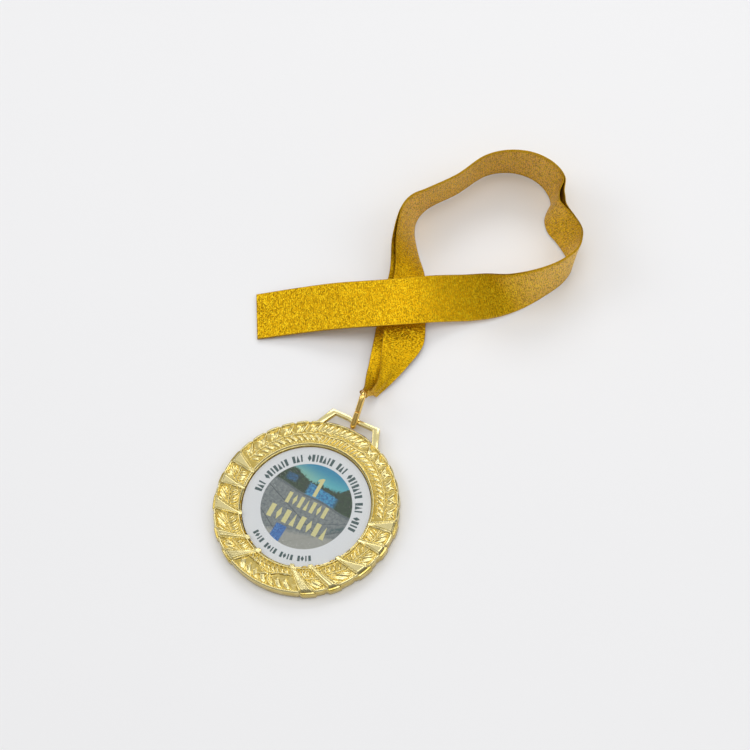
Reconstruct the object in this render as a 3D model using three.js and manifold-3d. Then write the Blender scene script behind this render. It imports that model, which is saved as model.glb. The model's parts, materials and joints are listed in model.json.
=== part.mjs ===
// Neck medal on a doubled lurex ribbon, millimetres, +Z up out of the printed front.
// Origin: the middle of the flat back face. +Y points from the middle to the hanger.
import * as THREE from 'three';
import { mergeVertices } from 'three/addons/utils/BufferGeometryUtils.js';
import Module from 'manifold-3d';

// ---- driving dimensions -------------------------------------------------------------
const medalRadius = 35;          // to the wavy outer edge, mean
const medalThickness = 4.8;      // back face to the top of the rims
const openingRadius = 24.6;      // front opening that the printed disc sits in
const webThickness = 1.6;        // floor of the casting behind the disc
const bandSink = 0.7;            // relief field lies this much below the rims
const rimWidth = 1.1;            // outer and inner raised rims
const wrapRise = 0.3;            // ribbon wraps cast proud of the rims
const wrapAngles = [79, 95, 114, 137];   // degrees from the hanger, both sides

const tapeThickness = 0.15;
const plateThickness = 1.5;
const filmThickness = 0.12;
const coverThickness = 0.33;
const discClearance = 0.3;       // radial, printed disc in the casting
const tapeMargin = 1.0;          // tape is this much smaller in radius than the disc

const barWidth = 2.0;            // hanger bar, seen from the front
const barDepth = 2.2;            // hanger bar, front to back
const barSink = 0.1;             // front of the bar below the top of the rims
const hangerRise = 5.1;          // edge of the medal to the hanger's outer corners
const hangerHalfTop = 10.05;     // half the width between those corners
const hangerFootHalf = 13.3;     // half the width where the legs meet the casting
const notchDip = 0.7;            // outer edge of the bar dips this much at its middle
const hangerRoot = 3.0;          // legs run this far into the casting

const wireDiameter = 1.1;
const ringLength = 16;           // oval jump ring, outside
const ringWidth = 6.4;
const ringLift = 40;             // degrees, ring at rest above the plane of the medal
const ringTwist = 13;            // degrees, oval turned about its own long axis
const ringGap = 0.26;            // wire to hanger bar, and the cut in the wire
const wireSides = 10;

const ribbonThickness = 0.7;     // one strand
const strandGap = 0.6;           // between the two strands
const eyeSideGap = 0.4;          // gathered ribbon to the wire, at its edges
const eyeFaceGap = 0.45;         // gathered ribbon to the wire, at its faces
const eyeSeat = 0.5;             // turn of the ribbon beyond the centre of the ring's end
const seamLength = 7;            // sewn row that closes the ribbon, across it
const seamWidth = 1.6;
const seamThickness = 0.4;
const seamGap = 0.35;            // sewn row below the lower strand
const seamPlace = 0.07;          // share of the laid length from the ring

// Edges of the laid ribbon, from the ring to the neck fold: the edge that rests on the
// table, then the upper edge. Chosen by hand, as the ribbon happens to lie. X and Y are
// counted from the centre of the ring's end, Z from the table.
const ribbonEdges = [
  [[1.6, 6.4, 1.6], [-1.8, 4.4, 9.2]],
  [[4.6, 14.6, 1.5], [-3.8, 12.6, 8.8]],
  [[7.0, 24.2, 1.5], [-5.8, 20.8, 8.4]],
  [[8.0, 33.4, 1.5], [-8.2, 27.6, 8.0]],
  [[4.5, 42.4, 1.5], [-10.6, 35.3, 7.0]],
  [[-1.0, 52.4, 1.5], [-14.2, 46.4, 7.0]],
  [[-5.7, 61.3, 1.5], [-17.6, 55.9, 11.0]],
  [[-13.0, 69.3, 1.2], [-20.6, 64.6, 17.2]],
  [[-19.0, 77.8, 0.7], [-22.0, 76.6, 19.9]],
  [[-20.7, 83.2, 0.6], [-20.8, 82.8, 20.3]],
  [[-19.8, 90.0, 0.6], [-17.4, 88.6, 20.2]],
  [[-12.1, 101.6, 0.6], [-9.4, 99.6, 20.1]],
  [[-4.9, 114.2, 0.6], [-3.0, 111.6, 20.1]],
  [[3.3, 119.5, 0.6], [4.2, 117.6, 20.3]],
  [[12.3, 120.5, 0.6], [14.4, 120.8, 20.4]],
  [[19.7, 118.1, 0.6], [24.4, 119.6, 20.1]],
  [[25.0, 112.8, 0.6], [29.8, 115.2, 19.8]],
  [[24.9, 109.1, 0.6], [30.8, 110.6, 19.5]],
  [[26.0, 105.0, 0.6], [33.4, 106.6, 18.9]],
  [[29.4, 100.5, 0.6], [39.6, 102.6, 17.6]],
  [[34.9, 97.4, 0.6], [45.0, 98.6, 17.7]],
  [[40.6, 93.5, 0.6], [47.8, 94.3, 19.2]],
  [[44.7, 89.6, 0.6], [48.4, 88.6, 20.1]],
  [[45.0, 82.5, 0.6], [45.6, 81.2, 20.4]],
  [[42.0, 73.5, 0.8], [39.6, 74.0, 20.2]],
  [[35.8, 63.8, 1.2], [29.6, 67.6, 19.0]],
  [[28.8, 56.7, 2.4], [19.2, 66.4, 13.6]],
  [[21.3, 50.4, 4.4], [10.8, 63.8, 10.6]],
  [[11.0, 42.9, 7.6], [0.0, 58.6, 10.2]],
  [[-3.2, 33.0, 10.4], [-14.4, 49.0, 12.2]],
  [[-22.8, 23.8, 7.6], [-33.6, 40.4, 8.8]],
  [[-37.3, 16.9, 4.2], [-47.8, 33.8, 4.9]],
  [[-52.1, 8.7, 1.6], [-62.2, 26.0, 1.7]],
];

// ---- colours ------------------------------------------------------------------------
const gold = new THREE.MeshStandardMaterial({ color: 0xe6c86a, metalness: 1, roughness: 0.22 });
const wireGold = new THREE.MeshStandardMaterial({ color: 0xd9a43a, metalness: 1, roughness: 0.25 });
const whitePlastic = new THREE.MeshStandardMaterial({ color: 0xf2f3f5, roughness: 0.4 });
const printInk = new THREE.MeshStandardMaterial({ color: 0xb9c7cd, roughness: 0.5 });
const clearPlastic = new THREE.MeshStandardMaterial({
  color: 0xffffff, roughness: 0.05, transparent: true, opacity: 0.25,
});
const tapeFoam = new THREE.MeshStandardMaterial({ color: 0xe8e6dc, roughness: 0.9 });
const lurex = new THREE.MeshStandardMaterial({ color: 0xc9990f, metalness: 0.6, roughness: 0.45 });
const thread = new THREE.MeshStandardMaterial({ color: 0xb8880c, roughness: 0.8 });

// ---- solids -------------------------------------------------------------------------
const wasm = await Module();
wasm.setup();

function toSolid(geometry) {
  const bare = geometry.clone();
  bare.deleteAttribute('normal');
  bare.deleteAttribute('uv');
  const merged = mergeVertices(bare, 1e-4);
  return new wasm.Manifold(new wasm.Mesh({
    numProp: 3,
    vertProperties: new Float32Array(merged.attributes.position.array),
    triVerts: new Uint32Array(merged.index.array),
  }));
}

function toGeometry(solid) {
  const mesh = solid.getMesh();
  const geometry = new THREE.BufferGeometry();
  geometry.setAttribute('position', new THREE.BufferAttribute(mesh.vertProperties, 3));
  geometry.setIndex(new THREE.BufferAttribute(mesh.triVerts, 1));
  geometry.computeVertexNormals();
  return geometry;
}

function polar(radius, degreesFromHanger) {
  const angle = THREE.MathUtils.degToRad(degreesFromHanger);
  return new THREE.Vector2(radius * Math.sin(angle), radius * Math.cos(angle));
}

// A flat-bottomed body turned about Z from (radius, height) pairs that start and end on it.
function turned(profile, sides = 96) {
  const points = profile.map(([radius, height]) => new THREE.Vector2(radius, height));
  return new THREE.LatheGeometry(points, sides).rotateX(Math.PI / 2);
}

function disc(radius, bottom, thickness, sides = 72) {
  return turned([[0, bottom], [radius, bottom], [radius, bottom + thickness],
    [0, bottom + thickness]], sides);
}

// ---- casting ------------------------------------------------------------------------
const fieldHeight = medalThickness - bandSink;
const barTop = medalThickness - barSink;
const hangerReach = medalRadius + hangerRise;
const edgeRound = 0.5;

function castingRing() {
  const crown = (openingRadius + medalRadius) / 2;
  return turned([
    [0, 0],
    [medalRadius - edgeRound, 0],
    [medalRadius, edgeRound],
    [medalRadius, medalThickness - edgeRound],
    [medalRadius - edgeRound, medalThickness],
    [medalRadius - rimWidth, medalThickness],
    [medalRadius - rimWidth - 0.3, fieldHeight],
    [crown, fieldHeight + 0.35],
    [openingRadius + rimWidth + 0.3, fieldHeight],
    [openingRadius + rimWidth, medalThickness],
    [openingRadius + 0.3, medalThickness],
    [openingRadius, medalThickness - 0.3],
    [openingRadius, webThickness],
    [0, webThickness],
  ]);
}

// One cast ribbon wrap: a wedge facet, narrow at the opening and wide at the outer edge.
function wrapWedge(side, degreesFromHanger) {
  const inner = openingRadius + 0.4;
  const outer = medalRadius - 0.25;
  const outline = new THREE.Shape([
    polar(inner, side * (degreesFromHanger - 1.2)),
    polar(outer, side * (degreesFromHanger - 4.2)),
    polar(outer, side * (degreesFromHanger + 4.2)),
    polar(inner, side * (degreesFromHanger + 1.2)),
  ]);
  const bottom = webThickness;
  const height = medalThickness + wrapRise - bottom;
  const body = new THREE.ExtrudeGeometry(outline, { depth: height, bevelEnabled: false });
  return toSolid(body.translate(0, 0, bottom));
}

function hangerBody() {
  const footReach = Math.sqrt(medalRadius ** 2 - hangerFootHalf ** 2) - hangerRoot;
  const slope = (hangerFootHalf - hangerHalfTop) / (hangerReach - footReach - hangerRoot);
  const rootHalf = hangerFootHalf + slope * hangerRoot;
  const outline = new THREE.Shape([
    new THREE.Vector2(rootHalf, footReach),
    new THREE.Vector2(hangerHalfTop, hangerReach),
    new THREE.Vector2(0, hangerReach - notchDip),
    new THREE.Vector2(-hangerHalfTop, hangerReach),
    new THREE.Vector2(-rootHalf, footReach),
  ]);
  const legWidth = barWidth * Math.hypot(1, slope);
  outline.holes.push(new THREE.Path([
    new THREE.Vector2(rootHalf - legWidth, footReach + 0.5),
    new THREE.Vector2(-rootHalf + legWidth, footReach + 0.5),
    new THREE.Vector2(-hangerHalfTop + legWidth * 0.85, hangerReach - barWidth),
    new THREE.Vector2(0, hangerReach - barWidth - notchDip),
    new THREE.Vector2(hangerHalfTop - legWidth * 0.85, hangerReach - barWidth),
  ]));
  const bevel = 0.25;
  const body = new THREE.ExtrudeGeometry(outline, {
    depth: barDepth - 2 * bevel, bevelEnabled: true, bevelThickness: bevel, bevelSize: bevel,
    bevelOffset: -bevel, bevelSegments: 1,
  });
  return toSolid(body.translate(0, 0, barTop - barDepth + bevel));
}

function castingSolid() {
  let body = toSolid(castingRing()).add(hangerBody());
  for (const side of [-1, 1]) {
    for (const angle of wrapAngles) body = body.add(wrapWedge(side, angle));
  }
  const pocket = disc(openingRadius, webThickness, medalThickness, 96);
  return toGeometry(body.subtract(toSolid(pocket)));
}

// ---- jump ring ----------------------------------------------------------------------
const barMiddle = new THREE.Vector3(0, hangerReach - notchDip - barWidth / 2,
  barTop - barDepth / 2);
const lift = THREE.MathUtils.degToRad(ringLift);
const ringAxis = new THREE.Vector3(0, Math.cos(lift), Math.sin(lift));    // bar to ribbon
const twist = THREE.MathUtils.degToRad(ringTwist);
const ringAcross = new THREE.Vector3(0, -Math.sin(lift), Math.cos(lift))
  .applyAxisAngle(ringAxis, twist);
const ringNormal = ringAcross.clone().cross(ringAxis).negate();
const barCorner = Math.hypot(barWidth, barDepth) / 2;
const barToRingMiddle = ringLength / 2 - wireDiameter - ringGap - barCorner;
const ringMiddle = barMiddle.clone().addScaledVector(ringAxis, barToRingMiddle);
const endRadius = (ringWidth - wireDiameter) / 2;
const endCentre = (ringLength - ringWidth) / 2;
const ringEnd = ringMiddle.clone().addScaledVector(ringAxis, endCentre);   // centre of its end

// The wire runs once round the oval, from one side of its cut to the other.
class OvalWire extends THREE.Curve {
  getPoint(t, target = new THREE.Vector3()) {
    const straight = 2 * endCentre;
    const round = Math.PI * endRadius;
    const total = 2 * (straight + round) - ringGap;
    let along = ringGap / 2 + t * total;
    const half = straight + round;
    const turn = along < half ? 1 : -1;
    along = along < half ? along : along - half;
    let major;
    let minor;
    if (along < endCentre || along > endCentre + round) {
      const before = along < endCentre;
      major = before ? along : half - along;
      minor = before ? endRadius : -endRadius;
    } else {
      const angle = (along - endCentre) / endRadius;
      major = endCentre + endRadius * Math.sin(angle);
      minor = endRadius * Math.cos(angle);
    }
    return target.copy(ringMiddle)
      .addScaledVector(ringAxis, turn * major)
      .addScaledVector(ringAcross, turn * minor);
  }
}

function jumpRing() {
  const section = new THREE.Shape(Array.from({ length: wireSides }, (_, side) => {
    const angle = (side / wireSides) * 2 * Math.PI;
    const radius = wireDiameter / 2;
    return new THREE.Vector2(radius * Math.cos(angle), radius * Math.sin(angle));
  }));
  return new THREE.ExtrudeGeometry(section, { steps: 56, extrudePath: new OvalWire() });
}

// ---- ribbon -------------------------------------------------------------------------
const strandOffset = (ribbonThickness + strandGap) / 2;
const eyeWidth = ringWidth - 2 * wireDiameter - 2 * eyeSideGap;
const eyeSpread = wireDiameter / 2 + eyeFaceGap + ribbonThickness / 2;

function smoothEdge(which) {
  const seat = new THREE.Vector3(ringEnd.x, ringEnd.y, 0);
  const points = ribbonEdges.map((pair) => new THREE.Vector3(...pair[which]).add(seat));
  return new THREE.CatmullRomCurve3(points, false, 'centripetal');
}

// A station of the pair of strands: middle, half of the width as a vector, and normal.
function laidStation(edges, t) {
  const [low, high] = edges.map((edge) => edge.getPoint(t));
  const [lowOn, highOn] = edges.map((edge) => edge.getTangent(t));
  const half = low.clone().sub(high).multiplyScalar(0.5);
  const onward = lowOn.add(highOn).normalize();
  return {
    middle: low.clone().add(high).multiplyScalar(0.5),
    half,
    onward,
    normal: half.clone().cross(onward).normalize(),
  };
}

function laidStations(count) {
  const edges = [smoothEdge(0), smoothEdge(1)];
  return Array.from({ length: count + 1 }, (_, step) => laidStation(edges, step / count));
}

// In the ring the pair opens, so that one strand passes on each side of the wire.
function ringStations() {
  const half = ringAcross.clone().multiplyScalar(-eyeWidth / 2);
  return [eyeSeat + 1, endRadius, endRadius + 2.2].map((reach) => ({
    middle: ringEnd.clone().addScaledVector(ringAxis, reach),
    half,
    normal: ringNormal,
    spread: eyeSpread,
  }));
}

function strandSection(station, side, spread) {
  const centre = station.middle.clone().addScaledVector(station.normal, side * spread);
  const depth = station.normal.clone().multiplyScalar((side * ribbonThickness) / 2);
  return [[1, 1], [1, -1], [-1, -1], [-1, 1]].map(([across, out]) => centre.clone()
    .addScaledVector(station.half, across).addScaledVector(depth, out));
}

// The turn that joins both strands, round the given middle, as two slanted sections.
function turnSections(station, spread, away) {
  return [1, -1].map((side) => {
    const normal = station.normal.clone().multiplyScalar(side).addScaledVector(away, 1.4)
      .normalize();
    const turned45 = { ...station, normal };
    return strandSection(turned45, 1, spread);
  });
}

function ribbonBody() {
  const stations = [...ringStations(), ...laidStations(72)];
  const spreadOf = (station) => station.spread ?? strandOffset;
  const first = stations[0];
  const last = stations[stations.length - 1];
  const sections = [
    ...stations.map((station) => strandSection(station, 1, spreadOf(station))),
    ...turnSections(last, strandOffset, last.middle.clone()
      .sub(stations[stations.length - 2].middle).normalize()),
    ...stations.map((station) => strandSection(station, -1, spreadOf(station))).reverse(),
    ...turnSections(first, eyeSpread, ringAxis.clone().negate()).reverse(),
  ];
  const positions = sections.flat().flatMap((point) => point.toArray());
  const faces = [];
  const ring = sections.length;
  for (let row = 0; row < ring; row += 1) {
    const next = (row + 1) % ring;
    for (let corner = 0; corner < 4; corner += 1) {
      const other = (corner + 1) % 4;
      const [a, b] = [row * 4 + corner, row * 4 + other];
      const [c, d] = [next * 4 + other, next * 4 + corner];
      faces.push(a, b, c, a, c, d);
    }
  }
  const geometry = new THREE.BufferGeometry();
  geometry.setAttribute('position', new THREE.Float32BufferAttribute(positions, 3));
  geometry.setIndex(faces);
  return geometry;
}

// The sewn row lies across the underside, where both strands have come together.
function ribbonSeam() {
  const station = laidStation([smoothEdge(0), smoothEdge(1)], seamPlace);
  const drop = strandOffset + ribbonThickness / 2 + seamGap + seamThickness / 2;
  const across = station.half.clone().normalize();
  const onward = station.normal.clone().cross(across);
  const seat = station.middle.clone().addScaledVector(station.normal, -drop);
  const frame = new THREE.Matrix4().makeBasis(across, onward, station.normal)
    .setPosition(seat);
  return new THREE.BoxGeometry(seamLength, seamWidth, seamThickness).applyMatrix4(frame);
}

// ---- assembly -----------------------------------------------------------------------
const group = new THREE.Group();

function add(name, geometry, material) {
  geometry.computeVertexNormals();
  const mesh = new THREE.Mesh(geometry, material);
  mesh.name = name;
  group.add(mesh);
}

const discRadius = openingRadius - discClearance;
const tapeTop = webThickness + tapeThickness;
const plateTop = tapeTop + plateThickness;
const filmTop = plateTop + filmThickness;

add('medal_casting', castingSolid(), gold);
add('adhesive_disc', disc(discRadius - tapeMargin, webThickness, tapeThickness), tapeFoam);
add('insert_plate', disc(discRadius, tapeTop, plateThickness), whitePlastic);
add('printed_film', disc(discRadius, plateTop, filmThickness), printInk);
add('clear_cover', disc(discRadius, filmTop, coverThickness), clearPlastic);
add('jump_ring', jumpRing(), wireGold);
add('neck_ribbon', ribbonBody(), lurex);
add('ribbon_seam', ribbonSeam(), thread);

export default group;
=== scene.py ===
"""Award medal with a cast wreath, a printed inset disc, an oval jump ring and a laid
glitter ribbon. Lengths in the code are millimetres until a mesh is made, then metres."""

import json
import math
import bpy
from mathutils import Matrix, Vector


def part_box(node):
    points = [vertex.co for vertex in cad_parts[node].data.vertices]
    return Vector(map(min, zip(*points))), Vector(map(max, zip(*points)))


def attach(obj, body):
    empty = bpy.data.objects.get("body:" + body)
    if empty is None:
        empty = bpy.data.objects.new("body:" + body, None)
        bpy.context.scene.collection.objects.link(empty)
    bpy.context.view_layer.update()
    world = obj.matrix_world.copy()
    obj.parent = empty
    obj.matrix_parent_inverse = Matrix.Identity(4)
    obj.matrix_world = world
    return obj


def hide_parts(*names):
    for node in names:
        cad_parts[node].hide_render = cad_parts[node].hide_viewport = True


bl_info = {
    "name": "Wreath Medal",
    "version": (1, 0, 0),
    "blender": (4, 5, 0),
    "location": "3D View > Sidebar > Medal",
    "description": "Builds a cast wreath medal with its inset disc, jump ring and ribbon",
    "category": "Add Mesh",
}

import bpy
import numpy as np
from mathutils import Matrix, Vector

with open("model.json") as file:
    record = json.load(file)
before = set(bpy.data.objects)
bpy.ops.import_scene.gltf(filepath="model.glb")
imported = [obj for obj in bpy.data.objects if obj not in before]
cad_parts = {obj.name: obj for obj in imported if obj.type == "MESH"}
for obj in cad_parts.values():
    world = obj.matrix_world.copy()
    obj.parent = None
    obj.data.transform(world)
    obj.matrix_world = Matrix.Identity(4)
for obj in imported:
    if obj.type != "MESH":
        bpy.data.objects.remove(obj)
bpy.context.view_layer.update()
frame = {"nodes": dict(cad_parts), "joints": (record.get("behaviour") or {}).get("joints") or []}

MM = 0.001


def node_box(name):
    """Lowest and highest corner of a CAD node, in millimetres."""
    low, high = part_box(name)
    return np.array(low) / MM, np.array(high) / MM


CASTING_LOW = node_box("medal_casting")[0]
WEB_TOP = float(node_box("adhesive_disc")[0][2])
FILM_TOP = float(node_box("printed_film")[1][2])
COVER_LOW, COVER_HIGH = node_box("clear_cover")
RING_LOW, RING_HIGH = node_box("jump_ring")
JOINTS = {joint["name"]: joint for joint in frame["joints"]}


# ---- sizes and colours that a user would change ---------------------------------------

def length(label, text, value):
    """A property holding a length in millimetres."""
    return bpy.props.FloatProperty(name=label, description=text, default=value, min=0.0)


def tint(label, text, value):
    """A property holding a linear colour."""
    return bpy.props.FloatVectorProperty(
        name=label, description=text, default=value, size=3, subtype="COLOR", min=0.0, max=1.0)


class MedalSizes(bpy.types.PropertyGroup):
    """The cast wreath and its hanger."""
    radius: length("Radius", "Middle of the medal to its edge, mm", float(-CASTING_LOW[0]))
    opening: length("Opening", "Radius of the opening for the disc, mm", 24.62)
    thickness: length("Thickness", "Back face to the top of the rims, mm", 4.8)
    sink: length("Field sink", "Relief field below the rims, mm", 0.7)
    bar: length("Hanger depth", "Front to back of the hanger bar, mm", 2.2)
    steps: bpy.props.IntProperty(
        name="Steps", description="Points round the wreath", default=1152, min=96)
    rows: bpy.props.IntProperty(
        name="Rows", description="Points across the relief", default=66, min=12)


class DiscSizes(bpy.types.PropertyGroup):
    """The printed inset disc."""
    picture: length("Picture", "Radius of the round picture, mm", 17.3)
    upper_arc: length("Upper arc", "Radius to the middle of the upper marks, mm", 19.8)
    lower_arc: length("Lower arc", "Radius to the middle of the lower marks, mm", 21.0)
    mark: length("Mark height", "Height of a mark of the upper arc, mm", 2.9)


class RingSizes(bpy.types.PropertyGroup):
    """The oval jump ring."""
    wire: length("Wire", "Diameter of the wire, mm", float(RING_HIGH[0] - RING_LOW[0]))
    length: length("Length", "Outside length of the oval, mm", 16.0)
    width: length("Width", "Outside width of the oval, mm", 6.4)
    lift: bpy.props.FloatProperty(
        name="Lift", description="Ring above the plane of the medal",
        default=math.radians(40.0), subtype="ANGLE")
    twist: bpy.props.FloatProperty(
        name="Twist", description="Oval turned about its own long axis",
        default=math.radians(16.0), subtype="ANGLE")
    cut: length("Cut", "Open cut in the wire, mm", 0.26)


class RibbonSizes(bpy.types.PropertyGroup):
    """The laid ribbon."""
    width: length("Width", "Woven width, mm", 20.0)
    strand: length("Strand", "Thickness of one strand, mm", 0.32)
    gap: length("Gap", "Between the two strands, mm", 0.10)
    cell: length("Glitter", "Size of one glint of the weave, mm", 0.36)


class Finishes(bpy.types.PropertyGroup):
    """Colours."""
    gold: tint("Gold", "Plating of the casting", (0.83, 0.717, 0.342))
    # Painted shade: the plating colour used deep in the relief, where shade falls.
    painted_recess_shade: tint("Recess", "Plating deep in the relief", (0.64, 0.48, 0.12))
    wire: tint("Wire", "Jump ring", (0.86, 0.55, 0.14))
    lurex: tint("Lurex", "Mean colour of the ribbon", (0.76, 0.43, 0.004))
    # Painted highlight: the colour of the glints of the glitter.
    lurex_painted_glint: tint("Lurex glint", "Bright glints of the ribbon", (1.0, 0.72, 0.02))
    # Painted shade: the dark grains of the glitter and the shade between the ribs.
    lurex_painted_shade: tint("Lurex shade", "Dark threads of the ribbon", (0.30, 0.15, 0.002))
    # Painted sheen: the lighter, warmer colour where the ribbon stands on edge.
    lurex_painted_sheen: tint("Lurex side", "Ribbon where it stands on edge", (0.98, 0.60, 0.14))
    paper: tint("Paper", "White of the printed film", (0.63, 0.65, 0.66))
    ink: tint("Ink", "Marks round the picture", (0.035, 0.07, 0.07))
    khaki: tint("Khaki", "Marks on the picture", (0.50, 0.47, 0.21))
    floor: tint("Floor", "Table top", (0.84, 0.84, 0.845))


GROUPS = {
    "medal_sizes": MedalSizes,
    "medal_disc": DiscSizes,
    "medal_ring": RingSizes,
    "medal_ribbon": RibbonSizes,
    "medal_finishes": Finishes,
}


# ---- shader expressions ---------------------------------------------------------------

class Value:
    """A shader socket that takes part in Python arithmetic by adding Math nodes."""

    def __init__(self, board, socket):
        self.board = board
        self.socket = socket

    def _math(self, operation, *others):
        return self.board.node("ShaderNodeMath", {"operation": operation}, *others)

    def __add__(self, other):
        return self._math("ADD", self, other)

    def __sub__(self, other):
        return self._math("SUBTRACT", self, other)

    def __rsub__(self, other):
        return self._math("SUBTRACT", other, self)

    def __mul__(self, other):
        return self._math("MULTIPLY", self, other)

    def __pow__(self, other):
        return self._math("POWER", self, other)

    __radd__ = __add__
    __rmul__ = __mul__

    def absolute(self):
        return self._math("ABSOLUTE", self)

    def sine(self):
        return self._math("SINE", self)

    def ramp(self, low, high):
        """0 below low, 1 above high, smooth between."""
        settings = {"interpolation_type": "SMOOTHSTEP"}
        inputs = {"Value": self, "From Min": low, "From Max": high}
        return self.board.node("ShaderNodeMapRange", settings, **inputs)


class Board:
    """The node tree of one material, filled through one method."""

    def __init__(self, name):
        self.material = bpy.data.materials.new(name)
        self.material.use_nodes = True
        self.tree = self.material.node_tree
        self.shader = self.tree.nodes["Principled BSDF"]

    def node(self, kind, settings=None, *ordered, output=0, **inputs):
        made = self.tree.nodes.new(kind)
        for key, value in (settings or {}).items():
            setattr(made, key, value)
        enabled = [socket for socket in made.inputs if socket.enabled]
        for socket, value in zip(enabled, ordered):
            self.feed(socket, value)
        for key, value in inputs.items():
            self.feed(next(s for s in enabled if s.name == key), value)
        outputs = [socket for socket in made.outputs if socket.enabled]
        if isinstance(output, str):
            return Value(self, next(s for s in outputs if s.name == output))
        return Value(self, outputs[output])

    def feed(self, socket, value):
        if isinstance(value, Value):
            self.tree.links.new(value.socket, socket)
        elif socket.type == "RGBA":
            socket.default_value = (*value, 1.0) if len(value) == 3 else value
        else:
            socket.default_value = value

    def coordinates(self, which="Object", scale=1.0 / MM):
        """Object or UV coordinates as a vector, in millimetres unless scaled otherwise."""
        plain = self.node("ShaderNodeTexCoord", output=which)
        return self.node("ShaderNodeVectorMath", {"operation": "SCALE"}, plain, Scale=scale)

    def parts(self, vector):
        split = self.node("ShaderNodeSeparateXYZ", None, vector)
        outputs = split.socket.node.outputs
        return [Value(self, outputs[index]) for index in range(3)]

    def noise(self, vector, scale, detail=2.0, roughness=0.5, output="Fac"):
        return self.node("ShaderNodeTexNoise", None, output=output, Vector=vector,
                         Scale=scale, Detail=detail, Roughness=roughness)

    def mix(self, factor, first, second):
        made = self.tree.nodes.new("ShaderNodeMix")
        made.data_type = "RGBA"
        self.feed(made.inputs[0], factor)
        self.feed(made.inputs[6], first)
        self.feed(made.inputs[7], second)
        return Value(self, made.outputs[2])

    def set(self, **values):
        """Principled inputs by name, with _ for a space."""
        for key, value in values.items():
            self.feed(self.shader.inputs[key.replace("_", " ")], value)
        return self.material

    def bump(self, height, distance, strength=1.0):
        return self.node("ShaderNodeBump", None, Height=height, Distance=distance,
                         Strength=strength)


# ---- mesh helpers ---------------------------------------------------------------------

def make_object(name, vertices, faces, material, smooth=True):
    """A mesh object from millimetre points; quads or triangles in any mixture."""
    mesh = bpy.data.meshes.new(name)
    mesh.from_pydata((np.asarray(vertices, float) * MM).tolist(), [], faces)
    mesh.validate()
    mesh.materials.append(material)
    mesh.polygons.foreach_set("use_smooth", [smooth] * len(mesh.polygons))
    mesh.update()
    made = bpy.data.objects.new(name, mesh)
    bpy.context.scene.collection.objects.link(made)
    return made


def grid_faces(rows, columns, close_rows=False, close_columns=False):
    """Quads of a grid of rows times columns points, closed round either way."""
    faces = []
    for row in range(rows if close_rows else rows - 1):
        below = (row + 1) % rows
        for column in range(columns if close_columns else columns - 1):
            beside = (column + 1) % columns
            faces.append((row * columns + column, row * columns + beside,
                          below * columns + beside, below * columns + column))
    return faces


def shade_by_angle(piece, degrees):
    """Smooth shading with sharp edges above an angle."""
    piece.data.set_sharp_from_angle(angle=math.radians(degrees))


# ---- the cast wreath ------------------------------------------------------------------

def smooth_step(value):
    clipped = np.clip(value, 0.0, 1.0)
    return clipped * clipped * (3.0 - 2.0 * clipped)


def signed_angle(angles):
    """Degrees from the hanger, -180 to 180, negative on the left side."""
    return (angles + 180.0) % 360.0 - 180.0


class Relief:
    """Heights over the wreath band, in millimetres, on a grid of angle and radius.
    Angles are degrees from the hanger, clockwise seen from the front."""

    def __init__(self, angles, radii):
        self.angle = angles
        self.radius = radii
        self.height = np.zeros(radii.shape)

    def local(self, start, end):
        """Share along a stroke and distance from it, for strokes given as (angle, radius)."""
        mean = math.radians(0.5 * (start[0] + end[0]))
        turn = np.radians(self.angle) - mean
        turn = (turn + math.pi) % (2.0 * math.pi) - math.pi
        across = self.radius * np.sin(turn)
        out = self.radius * np.cos(turn)
        ends = []
        for angle, radius in (start, end):
            bearing = math.radians(angle) - mean
            ends.append(np.array([radius * math.sin(bearing), radius * math.cos(bearing)]))
        run = ends[1] - ends[0]
        size = float(np.hypot(*run))
        run /= size
        along = (across - ends[0][0]) * run[0] + (out - ends[0][1]) * run[1]
        side = (across - ends[0][0]) * run[1] - (out - ends[0][1]) * run[0]
        side = np.where(np.cos(turn) > 0.0, side, 1e3)
        return along / size, side, size

    def raise_to(self, height):
        self.height = np.maximum(self.height, height)

    def leaf(self, start, end, half, height, bend=0.0, vein=0.0, blunt=0.0):
        """A leaf: widest a third of the way along, domed across, with an optional vein."""
        share, side, _ = self.local(start, end)
        height *= 1.0 + 0.14 * math.sin(start[0] * 2.7 + end[1] * 5.1)
        half *= 1.0 + 0.12 * math.sin(start[0] * 1.9 + start[1] * 3.3)
        inside = np.clip(share, 0.0, 1.0)
        side = side - bend * 4.0 * inside * (1.0 - inside)
        outline = np.sin(math.pi * inside) ** 0.7 * (1.0 - blunt) + blunt
        edge = half * np.maximum(outline, 1e-3)
        across = np.clip(np.abs(side) / edge, 0.0, 1.0)
        body = (1.0 - across ** 2) ** 0.72
        body = body * (1.0 - vein * np.exp(-(side / (0.16 * half + 0.05)) ** 2))
        ends = smooth_step(share / 0.08) * smooth_step((1.0 - share) / 0.08)
        rise = 0.72 + 0.28 * np.sin(math.pi * inside)
        self.raise_to(height * body * ends * rise)

    def rib(self, start, end, half, height, bend=0.0):
        """A thin raised line with round ends."""
        share, side, size = self.local(start, end)
        inside = np.clip(share, 0.0, 1.0)
        side = side - bend * 4.0 * inside * (1.0 - inside)
        over = np.maximum(np.maximum(-share, share - 1.0), 0.0) * size
        reach = np.hypot(side, over) / half
        self.raise_to(height * np.sqrt(np.clip(1.0 - reach ** 2, 0.0, 1.0)))

    def hoop(self, middle, half, height):
        """A raised hoop in two halves, which meet at the hanger and opposite it."""
        away = np.abs(signed_angle(self.angle))
        ends = smooth_step(away + 0.5) * smooth_step(180.5 - away)
        reach = np.clip(np.abs(self.radius - middle) / half, 0.0, 1.0)
        self.raise_to(height * np.sqrt(1.0 - reach ** 2) * ends)


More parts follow.
